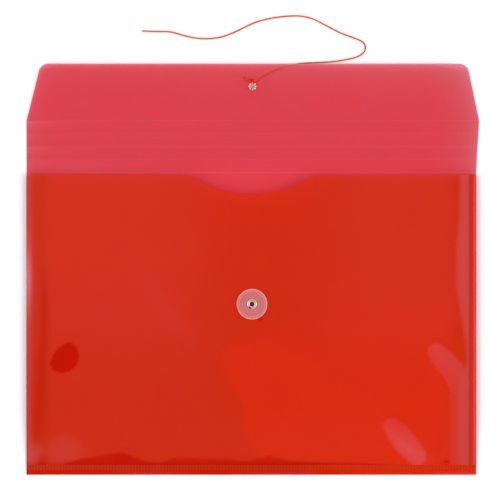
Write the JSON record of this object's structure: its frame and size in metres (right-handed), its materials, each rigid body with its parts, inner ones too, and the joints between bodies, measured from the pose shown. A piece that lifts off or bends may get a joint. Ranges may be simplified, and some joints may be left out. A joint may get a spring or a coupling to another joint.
{
  "type": "document wallet",
  "caption": "Flat string-tie document wallet in translucent red film, with folded side gussets, a scored flap, a button disc and a tie string.",
  "frame": {"origin": "centre of the back panel's outer face, on the surface that the wallet lies on", "axes": "+X across the wallet to the right, +Y from the bottom seam towards the flap, +Z out of the front panel, up as the wallet lies"},
  "size_m": [0.3707, 0.3765, 0.0081],
  "materials": {
    "film": "translucent polypropylene film, smooth, soft gloss",
    "disc": "natural milky polypropylene",
    "rivet": "bright nickel plate, slightly warm",
    "string": "twisted cotton string, orange red"
  },
  "bodies": {
    "body": {"back_panel": "film", "bottom_seam": "film", "left_gusset": "film", "right_gusset": "film"},
    "front": {"front_panel": "film", "side_overlap": "film", "button_rivet": "rivet", "rivet_washer": "rivet"},
    "button": {"button_disc": "disc"},
    "strip_1": {"flap_strip_1": "film"},
    "strip_2": {"flap_strip_2": "film"},
    "strip_3": {"flap_strip_3": "film"},
    "strip_4": {"flap_strip_4": "film"},
    "flap": {"flap_panel": "film", "flap_eyelet": "rivet", "string_loop": "string", "string_knot": "string", "string_tail": "string", "tie_string": "string"}
  },
  "joints": [
    {"name": "mouth_open", "type": "hinge", "parent": "body", "child": "front", "pos_m": [0, -0.1157, 0.0016], "axis": [1, 0, 0], "range_deg": [0, 5.9], "deforming": ["left_gusset", "right_gusset"]},
    {"name": "button_spin", "type": "hinge", "parent": "front", "child": "button", "pos_m": [0.0006, 0.01603, 0.0065], "axis": [0, 0, 1], "continuous": true},
    {"name": "flap_fold", "type": "hinge", "parent": "body", "child": "strip_1", "pos_m": [0, 0.12383, 0.00035], "axis": [1, 0, 0], "range_deg": [0, 36.9]},
    {"name": "score_2", "type": "hinge", "parent": "strip_1", "child": "strip_2", "pos_m": [0, 0.13442, 0.00064], "axis": [1, 0, 0], "range_deg": [0, 36.9]},
    {"name": "score_3", "type": "hinge", "parent": "strip_2", "child": "strip_3", "pos_m": [0, 0.14502, 0.00092], "axis": [1, 0, 0], "range_deg": [0, 36.9]},
    {"name": "score_4", "type": "hinge", "parent": "strip_3", "child": "strip_4", "pos_m": [0, 0.15561, 0.0012], "axis": [1, 0, 0], "range_deg": [0, 36.9]},
    {"name": "score_5", "type": "hinge", "parent": "strip_4", "child": "flap", "pos_m": [0, 0.16621, 0.00149], "axis": [1, 0, 0], "range_deg": [0, 36.9]}
  ],
  "couplings": [
    {"joint": "score_2", "follows": "flap_fold", "ratio": 1},
    {"joint": "score_3", "follows": "flap_fold", "ratio": 1},
    {"joint": "score_4", "follows": "flap_fold", "ratio": 1},
    {"joint": "score_5", "follows": "flap_fold", "ratio": 1}
  ]
}
